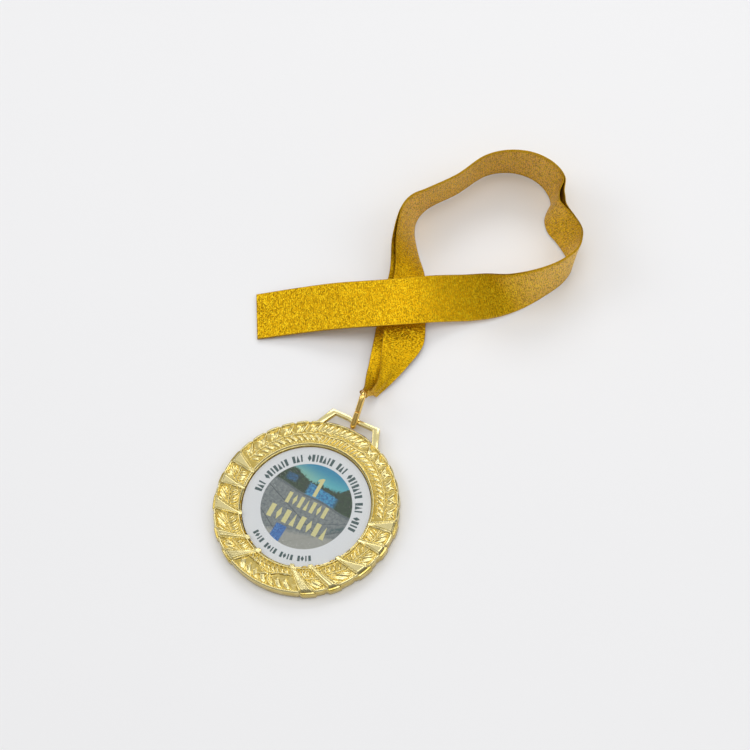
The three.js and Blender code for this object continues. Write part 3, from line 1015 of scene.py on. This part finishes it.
# Stations along the ribbon: the edge on the table, then the upper edge. X and Y are
# counted from the centre of the ring's end, Z from the table.
RIBBON_EDGES = (
    ((1.6, 6.4, 1.6), (-0.3, 5.1, 9.2)),
    ((4.6, 14.6, 1.5), (-2.6, 13.1, 8.8)),
    ((7.0, 24.2, 1.5), (-5.8, 20.8, 8.4)),
    ((8.0, 33.4, 1.5), (-8.5, 27.6, 8.0)),
    ((4.5, 42.4, 1.5), (-11.3, 35.3, 7.0)),
    ((-1.0, 52.4, 1.5), (-14.2, 46.4, 7.0)),
    ((-5.7, 61.3, 1.5), (-16.5, 56.4, 11.0)),
    ((-12.8, 69.2, 1.2), (-19.4, 65.1, 17.2)),
    ((-19.0, 77.8, 0.7), (-22.0, 76.6, 19.9)),
    ((-20.7, 83.2, 0.6), (-20.8, 82.8, 20.3)),
    ((-19.5, 89.8, 0.6), (-16.6, 88.2, 20.2)),
    ((-11.8, 101.2, 0.6), (-8.7, 99.0, 20.1)),
    ((-4.9, 113.9, 0.6), (-2.7, 111.2, 20.1)),
    ((3.3, 119.3, 0.6), (4.4, 117.1, 20.3)),
    ((12.3, 120.3, 0.6), (14.3, 120.2, 20.4)),
    ((19.7, 117.9, 0.6), (24.0, 119.1, 20.1)),
    ((25.0, 112.8, 0.6), (29.8, 115.2, 19.8)),
    ((25.3, 109.2, 0.6), (31.0, 108.8, 19.5)),
    ((26.0, 105.0, 0.6), (32.7, 105.7, 18.9)),
    ((29.4, 100.5, 0.6), (39.6, 102.6, 17.6)),
    ((34.9, 97.4, 0.6), (45.0, 98.6, 17.7)),
    ((40.6, 93.5, 0.6), (47.4, 94.1, 19.2)),
    ((44.7, 89.6, 0.6), (48.4, 88.6, 20.1)),
    ((44.6, 82.8, 0.6), (45.5, 81.3, 20.4)),
    ((41.0, 74.3, 0.8), (39.4, 74.2, 20.2)),
    ((35.1, 64.4, 1.2), (29.6, 67.6, 19.0)),
    ((28.5, 57.0, 1.6), (19.7, 65.8, 15.1)),
    ((20.7, 51.2, 2.2), (11.9, 62.4, 14.0)),
    ((10.0, 44.1, 4.6), (1.2, 57.1, 14.0)),
    ((-3.2, 33.0, 10.4), (-14.4, 49.0, 12.2)),
    ((-22.8, 23.8, 7.6), (-33.6, 40.4, 8.8)),
    ((-37.4, 17.1, 3.7), (-47.9, 34.0, 4.4)),
    ((-52.3, 9.0, 0.9), (-62.4, 26.2, 1.0)),
)
# Where the rear strand bulges away from the front one, millimetres along the ribbon.
PINCH_RUN = 166.5
# Rows of points along each strand, points across it, and samples of the path they follow.
STRAND_ROWS = 460
STRAND_COLUMNS = 15
PATH_SAMPLES = 1200
# The neck of the ribbon by the ring: how far along the rear strand's upper edge stays in
# view and by how much, and the same for how far the rear strand lies from the front one.
IN_VIEW = ((0.0, 4.0, 9.0, 12.0, 15.0, 26.0, 37.0, 45.0, 60.0, 72.0, 84.0),
           (0.0, 0.3, 2.6, 3.4, 3.2, 2.7, 2.2, 1.6, 1.3, 0.9, 0.0))
APART = ((0.0, 5.0, 8.5, 11.3, 14.0, 20.0, 30.0, 38.0, 45.0, 60.0, 72.0, 84.0),
         (0.0, 0.1, 1.8, 2.8, 3.5, 4.1, 4.3, 4.9, 4.6, 1.3, 0.9, 0.0))


def spline(points, count):
    """Centripetal Catmull-Rom curve through points, sampled evenly in its parameter."""
    knots = np.asarray(points, float)
    padded = np.concatenate([[2.0 * knots[0] - knots[1]], knots, [2.0 * knots[-1] - knots[-2]]])
    result = []
    spans = len(knots) - 1
    for step in range(count):
        place = step / (count - 1) * spans
        index = min(int(place), spans - 1)
        p0, p1, p2, p3 = padded[index:index + 4]
        times = [0.0]
        for a, b in ((p0, p1), (p1, p2), (p2, p3)):
            times.append(times[-1] + max(float(np.linalg.norm(b - a)), 1e-6) ** 0.5)
        t0, t1, t2, t3 = times
        t = t1 + (place - index) * (t2 - t1)
        a1 = ((t1 - t) * p0 + (t - t0) * p1) / (t1 - t0)
        a2 = ((t2 - t) * p1 + (t - t1) * p2) / (t2 - t1)
        a3 = ((t3 - t) * p2 + (t - t2) * p3) / (t3 - t2)
        b1 = ((t2 - t) * a1 + (t - t0) * a2) / (t2 - t0)
        b2 = ((t3 - t) * a2 + (t - t1) * a3) / (t3 - t1)
        result.append(((t2 - t) * b1 + (t - t1) * b2) / (t2 - t1))
    return np.array(result)


def even_spacing(low, high, count):
    """Sample two paired curves again at even steps along their middle line."""
    middle = 0.5 * (low + high)
    steps = np.linalg.norm(np.diff(middle, axis=0), axis=1)
    run = np.concatenate([[0.0], np.cumsum(steps)])
    wanted = np.linspace(0.0, run[-1], count)
    pick = [np.stack([np.interp(wanted, run, curve[:, k]) for k in range(3)], 1)
            for curve in (low, high)]
    return pick[0], pick[1], wanted


def ribbon_path(ring_sizes):
    """Low and high edge of the pair of strands from inside the ring to the neck fold."""
    end, along, across = ring_axes(ring_sizes)
    seat = np.array([end[0], end[1], 0.0])
    gathered = (ring_sizes.width - 2.0 * ring_sizes.wire - 0.8) / 2.0
    seated = end + along * 1.5
    beyond = end + np.array([0.0, 3.2, -0.3])
    slope = across + np.array([0.0, 0.0, 1.0])
    slope /= np.linalg.norm(slope)
    low = [seated - slope * gathered, beyond + np.array([0.9, 0.6, -3.6])]
    high = [seated + slope * gathered * 0.4, beyond + np.array([-0.5, -0.6, 1.6])]
    for first, second in RIBBON_EDGES:
        low.append(seat + np.array(first))
        high.append(seat + np.array(second))
    return spline(low, PATH_SAMPLES), spline(high, PATH_SAMPLES)


def strand_rows(sizes, ring_sizes):
    """What each row of the pair of strands needs: its middle, directions and offsets."""
    low, high, run = even_spacing(*ribbon_path(ring_sizes), STRAND_ROWS)
    middle = 0.5 * (low + high)
    half = 0.5 * (low - high)
    onward = np.gradient(middle, axis=0)
    onward /= np.linalg.norm(onward, axis=1)[:, None]
    normal = np.cross(half, onward)
    normal /= np.linalg.norm(normal, axis=1)[:, None]
    wide = np.linalg.norm(half, axis=1)
    spare = np.sqrt(np.clip((sizes.width / 2.0) ** 2 - wide ** 2, 0.0, None))
    eye = smooth_step(1.25 - run / 8.0)
    wire_side = ring_sizes.wire / 2.0 + 0.16 + sizes.strand / 2.0
    plain = (sizes.strand + sizes.gap) / 2.0
    spread = plain + (wire_side - plain) * eye
    peek = np.interp(run, *IN_VIEW)
    part = np.interp(run, *APART)
    lag = 0.42 * part + 2.1 * np.exp(-((run - PINCH_RUN) / 4.6) ** 2)
    return dict(middle=middle, half=half, onward=onward, normal=normal, run=run, wide=wide,
                spread=spread, peek=peek, part=part, lag=lag, spare=spare)


def strand_surface(rows, side, level, sizes):
    """Points of one skin: side picks the strand, level its face. Where the strands part,
    each keeps its own long edge of the pair and is that much narrower."""
    run = rows["run"]
    skins = []
    gathers = 0.10 * rows["spare"] * smooth_step(1.0 - run / 26.0)
    gathers = np.clip(gathers, 0.0, 0.20) * smooth_step((run - 6.0) / 9.0)
    cut = np.clip(rows["peek"] / (2.0 * rows["wide"]), 0.0, 0.45)
    cut = cut if side > 0 else 0.4 * cut
    for place in np.linspace(-1.0, 1.0, STRAND_COLUMNS):
        droop = 0.7 * rows["part"] * max(0.0, -place - 0.2) ** 1.3
        together = 0.5 * smooth_step(place) * smooth_step((run - 18.0) / 8.0)
        behind = rows["lag"] * (1.0 - together) + droop if side < 0 else 0.0
        wave = gathers * np.sin(place * 5.2 + 0.6 * side + run * 0.05)
        offset = side * (rows["spread"] + behind) + level * sizes.strand / 2.0 + wave
        kept = place * (1.0 - cut) + side * cut
        point = rows["middle"] + rows["half"] * kept[:, None]
        skins.append(point + rows["normal"] * offset[:, None])
    return np.stack(skins, 1)


def ribbon_mesh(sizes, ring_sizes):
    """The closed band as points, faces and a place along and across for each point."""
    rows = strand_rows(sizes, ring_sizes)
    front_out = strand_surface(rows, 1, 1, sizes)
    front_in = strand_surface(rows, 1, -1, sizes)
    back_in = strand_surface(rows, -1, 1, sizes)
    back_out = strand_surface(rows, -1, -1, sizes)

    def turn(index, direction, steps=6):
        """Rows of the fold that joins the strands at one end, front to back."""
        outer, inner = [], []
        for step in range(1, steps):
            angle = math.pi * step / steps
            blend = 0.5 - 0.5 * math.cos(angle)
            push = math.sin(angle)
            for store, first, last in ((outer, front_out, back_out), (inner, front_in, back_in)):
                start, stop = first[index], last[index]
                gap = np.linalg.norm(start - stop, axis=1).mean() / 2.0
                store.append(start + (stop - start) * blend + direction * gap * push)
        return outer, inner

    ahead = rows["onward"][-1]
    behind = -rows["onward"][0]
    neck_out, neck_in = turn(-1, ahead)
    eye_out, eye_in = turn(0, behind)
    outer = list(front_out) + neck_out + list(back_out[::-1]) + eye_out[::-1]
    inner = list(front_in) + neck_in + list(back_in[::-1]) + eye_in[::-1]
    total = len(outer)
    outer, inner = np.array(outer), np.array(inner)
    middle = 0.5 * (outer + inner).mean(1)
    steps = np.linalg.norm(np.diff(middle, axis=0, append=middle[:1]), axis=1)
    run = np.concatenate([[0.0], np.cumsum(steps)])
    points = np.concatenate([outer, inner[:, ::-1]], 1).reshape(-1, 3)
    loop = 2 * STRAND_COLUMNS
    faces = grid_faces(total, loop, close_rows=True, close_columns=True)
    places = []
    widths = np.concatenate([np.linspace(0.0, 1.0, STRAND_COLUMNS),
                             np.linspace(1.0, 0.0, STRAND_COLUMNS)])
    for row in range(total):
        for column in range(loop):
            beside = (column + 1) % loop
            first, second = widths[column], widths[beside]
            places.append(((run[row], first), (run[row], second),
                           (run[row + 1], second), (run[row + 1], first)))
    return points, faces, places, float(run[-1])


def lurex_material(sizes, finishes):
    """Woven metallic yarn: glints that catch the light, with painted glints and painted dark
    grains in its colour, ribs across with painted shade between them, a painted sheen where it
    stands on edge, and plain edges.
    """
    board = Board("lurex_ribbon_weave")
    place = board.coordinates("UV")
    along, across, _ = board.parts(place)
    stretch = board.node("ShaderNodeVectorMath", {"operation": "MULTIPLY"}, place,
                         (1.0, 0.72, 1.0))
    cells = {"Vector": stretch, "Scale": 1.0 / sizes.cell, "Randomness": 0.8}
    glint = board.node("ShaderNodeTexVoronoi", {"voronoi_dimensions": "2D"}, output="Color",
                       **cells)
    shape = board.node("ShaderNodeTexVoronoi", {"voronoi_dimensions": "2D"}, output="Distance",
                       **cells)
    first, second, third = board.parts(glint)
    # Painted glints and painted dark grains: random cells of the weave, lighter for glints that
    # catch the light and darker for grains that miss it.
    painted_glint = first.ramp(0.45, 0.9)
    dark = second.ramp(0.5, 0.85)
    # Painted sheen: faces that stand on edge get a lighter, warmer colour and less metal.
    upright = board.node("ShaderNodeAttribute", {"attribute_name": "upright"}, output="Fac")
    standing = upright.ramp(0.5, 1.0)
    colour = board.mix(standing * 0.75, tuple(finishes.lurex), tuple(finishes.lurex_painted_sheen))
    colour = board.mix(painted_glint * 0.7, colour, tuple(finishes.lurex_painted_glint))
    # Painted shade on the glitter's dark grains.
    colour = board.mix(dark * 0.66, colour, tuple(finishes.lurex_painted_shade))
    half = sizes.width / 2.0
    edge = (across - half).absolute().ramp(half - 0.75, half - 0.45)
    colour = board.mix(edge * 0.35, colour, (0.72, 0.44, 0.02))
    rim = (across - half).absolute().ramp(half - 0.3, half - 0.05)
    colour = board.mix(rim * 0.8, colour, (0.36, 0.20, 0.008))
    rib = (along * (2.0 * math.pi / 0.9)).sine() * 0.5 + 0.5
    # Painted shade between the ribs across, where the rib bump sinks.
    colour = board.mix((1.0 - rib) * 0.22, colour, tuple(finishes.lurex_painted_shade))
    tilt = board.node("ShaderNodeVectorMath", {"operation": "SUBTRACT"}, glint,
                      (0.5, 0.5, 0.5))
    tilt = board.node("ShaderNodeVectorMath", {"operation": "SCALE"}, tilt, Scale=0.42)
    facing = board.node("ShaderNodeNewGeometry", output="Normal")
    facing = board.node("ShaderNodeVectorMath", {"operation": "ADD"}, facing, tilt)
    facing = board.node("ShaderNodeVectorMath", {"operation": "NORMALIZE"}, facing)
    relief = (1.0 - shape) * 0.8 + rib * 0.25
    bump = board.node("ShaderNodeBump", None, Height=relief, Distance=0.00012, Strength=0.7,
                      Normal=facing)
    # Metallic drops where the ribbon stands on edge, part of the painted sheen.
    return board.set(Base_Color=colour, Metallic=0.96 - standing * 0.35,
                     Roughness=0.40 + third * 0.16, Normal=bump)


class MEDAL_OT_ribbon(bpy.types.Operator):
    """The doubled lurex ribbon and the sewn row that closes it"""
    bl_idname = "medal.ribbon"
    bl_label = "Ribbon"

    def execute(self, context):
        sizes = context.scene.medal_ribbon
        ring_sizes = context.scene.medal_ring
        finishes = context.scene.medal_finishes
        points, faces, places, run = ribbon_mesh(sizes, ring_sizes)
        material = lurex_material(sizes, finishes)
        ribbon = make_object("lurex_ribbon", points, faces, material)
        layer = ribbon.data.uv_layers.new(name="weave")
        flat = np.array(places).reshape(-1, 2)
        flat = np.stack([flat[:, 0] * MM, flat[:, 1] * sizes.width * MM], 1)
        layer.data.foreach_set("uv", flat.ravel())
        upright = ribbon.data.attributes.new("upright", "FLOAT", "POINT")
        level = np.array([vertex.normal.z for vertex in ribbon.data.vertices])
        upright.data.foreach_set("value", 1.0 - np.abs(level))
        shade_by_angle(ribbon, 50.0)
        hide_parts("neck_ribbon")
        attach(ribbon, "ribbon")
        seam = seam_object(sizes, ring_sizes)
        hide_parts("ribbon_seam")
        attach(seam, "ribbon")
        run * MM
        return {"FINISHED"}


# The sewn row: its stitches, then half the thread's thickness, a stitch's length and half
# the row's length in millimetres.
STITCHES = 17
THREAD = 0.14
STITCH = 1.3
SEAM_REACH = 3.4


def seam_object(sizes, ring_sizes):
    """Rows of stitches on a small tack, repeated by a node tree along the seam's line."""
    low, high = node_box("ribbon_seam")
    rows = strand_rows(sizes, ring_sizes)
    middle_of_seam = 0.5 * (low + high)
    index = int(np.argmin(np.linalg.norm(rows["middle"] - middle_of_seam, axis=1)))
    across = rows["half"][index] / np.linalg.norm(rows["half"][index])
    normal = rows["normal"][index]
    onward = np.cross(normal, across)
    drop = rows["spread"][index] + rows["lag"][index] + sizes.strand / 2.0 + THREAD
    middle = rows["middle"][index] - normal * drop
    board = Board("seam_thread")
    place = board.coordinates()
    twist = board.noise(place, 6.0, 2.0)
    colour = board.mix(twist, (0.42, 0.26, 0.02), (0.62, 0.40, 0.04))
    material = board.set(Base_Color=colour, Roughness=0.7 + twist * 0.2,
                         Normal=board.bump(twist, 0.00005, 0.6))
    start = middle - across * SEAM_REACH
    stop = middle + across * SEAM_REACH
    turn = Matrix((across, onward, normal)).transposed().to_euler()
    carrier = make_object("ribbon_seam_stitches", [], [], material)
    modifier = carrier.modifiers.new("stitches", "NODES")
    modifier.node_group, sockets = stitch_tree(material)
    for name, value in (("Start", start * MM), ("End", stop * MM), ("Turn", turn)):
        modifier[sockets[name]] = [float(part) for part in value]
    for name, value in (("Count", STITCHES), ("Thread", THREAD * MM), ("Reach", STITCH * MM)):
        modifier[sockets[name]] = value
    bake_modifiers(carrier)
    carrier.data.materials.clear()
    carrier.data.materials.append(material)
    return carrier


def stitch_tree(material):
    """A node tree: slanted stitches along a line between two points."""
    tree = bpy.data.node_groups.new("seam_stitches", "GeometryNodeTree")
    tree.interface.new_socket("Geometry", in_out="OUTPUT", socket_type="NodeSocketGeometry")
    sockets = {}
    for name, kind in (("Start", "NodeSocketVector"), ("End", "NodeSocketVector"),
                       ("Count", "NodeSocketInt"), ("Thread", "NodeSocketFloat"),
                       ("Reach", "NodeSocketFloat"), ("Turn", "NodeSocketRotation")):
        made = tree.interface.new_socket(name, in_out="INPUT", socket_type=kind)
        sockets[name] = made.identifier
    given = tree.nodes.new("NodeGroupInput").outputs

    def add(kind, inputs, **settings):
        """Add a node with its settings and its inputs, numbers or other nodes' outputs."""
        made = tree.nodes.new(kind)
        for key, value in settings.items():
            setattr(made, key, value)
        for key, value in inputs.items():
            if isinstance(value, bpy.types.NodeSocket):
                tree.links.new(value, made.inputs[key])
            else:
                made.inputs[key].default_value = value
        return made.outputs[0]

    line = add("GeometryNodeMeshLine", {"Count": given["Count"], "Offset": given["End"],
                                        "Start Location": given["Start"]}, mode="END_POINTS")
    capsule = add("GeometryNodeMeshUVSphere",
                  {"Segments": 8, "Rings": 6, "Radius": given["Thread"]})
    slimness = add("ShaderNodeMath", {0: given["Reach"], 1: given["Thread"]},
                   operation="DIVIDE")
    stretch = add("ShaderNodeMath", {0: slimness, 1: 0.5}, operation="MULTIPLY")
    scale = add("ShaderNodeCombineXYZ", {0: 1.0, 1: stretch, 2: 1.0})
    slant = add("FunctionNodeRotateRotation",
                {0: given["Turn"], 1: (0.0, 0.0, math.radians(16.0))}, rotation_space="LOCAL")
    placed = add("GeometryNodeInstanceOnPoints",
                 {"Points": line, "Instance": capsule, "Rotation": slant, "Scale": scale})
    real = add("GeometryNodeRealizeInstances", {0: placed})
    painted = add("GeometryNodeSetMaterial", {"Geometry": real, "Material": material})
    tree.links.new(painted, tree.nodes.new("NodeGroupOutput").inputs[0])
    return tree, sockets


# ---- floor, lights and camera ---------------------------------------------------------

def soft_lamp(name, place, target, size, power):
    """A white rectangular lamp turned towards a point."""
    data = bpy.data.lights.new(name, "AREA")
    data.shape = "RECTANGLE"
    data.size, data.size_y = size
    data.energy = power
    lamp = bpy.data.objects.new(name, data)
    lamp.location = place
    lamp.rotation_euler = (Vector(target) - Vector(place)).to_track_quat("-Z", "Y").to_euler()
    bpy.context.scene.collection.objects.link(lamp)


class MEDAL_OT_stage(bpy.types.Operator):
    """The pale floor, the soft light and the camera"""
    bl_idname = "medal.stage"
    bl_label = "Stage"

    def execute(self, context):
        scene = context.scene
        board = Board("table_top")
        place = board.coordinates("Object", 1.0)
        cloud = board.noise(place, 6.0, 2.0)
        colour = tuple(scene.medal_finishes.floor)
        pale = tuple(min(1.0, part * 1.02) for part in colour)
        material = board.set(Base_Color=board.mix(cloud, colour, pale), Roughness=0.6)
        reach, level = 4000.0, -0.05
        corners = [(-reach, -reach, level), (reach, -reach, level), (reach, reach, level),
                   (-reach, reach, level)]
        floor = make_object("table_floor", corners, [(0, 1, 2, 3)], material, smooth=False)
        self.camera(scene)
        self.lights(scene)
        return {"FINISHED"}

    def camera(self, scene):
        data = bpy.data.cameras.new("camera")
        data.sensor_width = 36.0
        data.lens = 96.0
        data.clip_start = 0.01
        data.clip_end = 20.0
        camera = bpy.data.objects.new("camera", data)
        forward = Vector((-0.28688, 0.36195, -0.88695)).normalized()
        right = Vector((0.87986, 0.46573, -0.09453)).normalized()
        up = right.cross(forward).normalized()
        right = forward.cross(up)
        turn = Matrix((right, up, -forward)).transposed().to_4x4()
        camera.matrix_world = Matrix.Translation((0.21842, -0.21896, 0.68598)) @ turn
        scene.collection.objects.link(camera)
        scene.camera = camera

    def lights(self, scene):
        scene.view_settings.view_transform = "Standard"
        world = bpy.data.worlds.new("soft_room")
        world.use_nodes = True
        scene.world = world
        tree = world.node_tree
        backing = tree.nodes["Background"]
        backing.inputs["Strength"].default_value = 0.70
        place = tree.nodes.new("ShaderNodeTexCoord")
        split = tree.nodes.new("ShaderNodeSeparateXYZ")
        tree.links.new(place.outputs["Generated"], split.inputs[0])
        ramp = tree.nodes.new("ShaderNodeValToRGB")
        stops = ((0.0, 0.85), (0.48, 0.36), (0.54, 0.22), (0.70, 0.42), (0.84, 0.88),
                 (0.93, 1.0), (1.0, 1.0))
        while len(ramp.color_ramp.elements) < len(stops):
            ramp.color_ramp.elements.new(0.5)
        for element, (position, grey) in zip(ramp.color_ramp.elements, stops):
            element.position = position
            element.color = (grey, grey, grey * 1.01, 1.0)
        lift = tree.nodes.new("ShaderNodeMapRange")
        lift.inputs["From Min"].default_value = -1.0
        lift.inputs["From Max"].default_value = 1.0
        tree.links.new(split.outputs[2], lift.inputs["Value"])
        tree.links.new(lift.outputs[0], ramp.inputs[0])
        tree.links.new(ramp.outputs[0], backing.inputs["Color"])
        middle = (0.0, 0.06, 0.0)
        soft_lamp("overhead_softbox", (0.15, 0.05, 1.35), middle, (0.7, 0.7), 3.6)
        soft_lamp("far_softbox", (-0.35, 1.15, 0.95), middle, (1.0, 0.6), 4.8)
        soft_lamp("left_softbox", (-1.1, -0.2, 0.85), middle, (0.7, 0.7), 3.0)
        soft_lamp("right_softbox", (1.0, 0.45, 0.85), middle, (0.5, 0.8), 2.5)


# ---- panel and running ----------------------------------------------------------------

class MEDAL_PT_panel(bpy.types.Panel):
    """Sizes, colours and the buttons that build each piece"""
    bl_label = "Medal"
    bl_idname = "MEDAL_PT_panel"
    bl_space_type = "VIEW_3D"
    bl_region_type = "UI"
    bl_category = "Medal"

    def draw(self, context):
        for key, group in GROUPS.items():
            box = self.layout.box()
            box.label(text=group.__doc__)
            for name in group.__annotations__:
                box.prop(getattr(context.scene, key), name)
        for operator in OPERATORS:
            self.layout.operator(operator.bl_idname)


OPERATORS = (MEDAL_OT_stage, MEDAL_OT_casting, MEDAL_OT_disc, MEDAL_OT_ring, MEDAL_OT_ribbon)
CLASSES = (*GROUPS.values(), *OPERATORS, MEDAL_PT_panel)


def register():
    for item in CLASSES:
        bpy.utils.register_class(item)
    for key, group in GROUPS.items():
        setattr(bpy.types.Scene, key, bpy.props.PointerProperty(type=group))


def unregister():
    for key in GROUPS:
        delattr(bpy.types.Scene, key)
    for item in reversed(CLASSES):
        bpy.utils.unregister_class(item)


def main():
    register()
    bpy.ops.medal.stage()
    bpy.ops.medal.casting()
    bpy.ops.medal.disc()
    bpy.ops.medal.ring()
    bpy.ops.medal.ribbon()


if __name__ == "__main__":
    main()
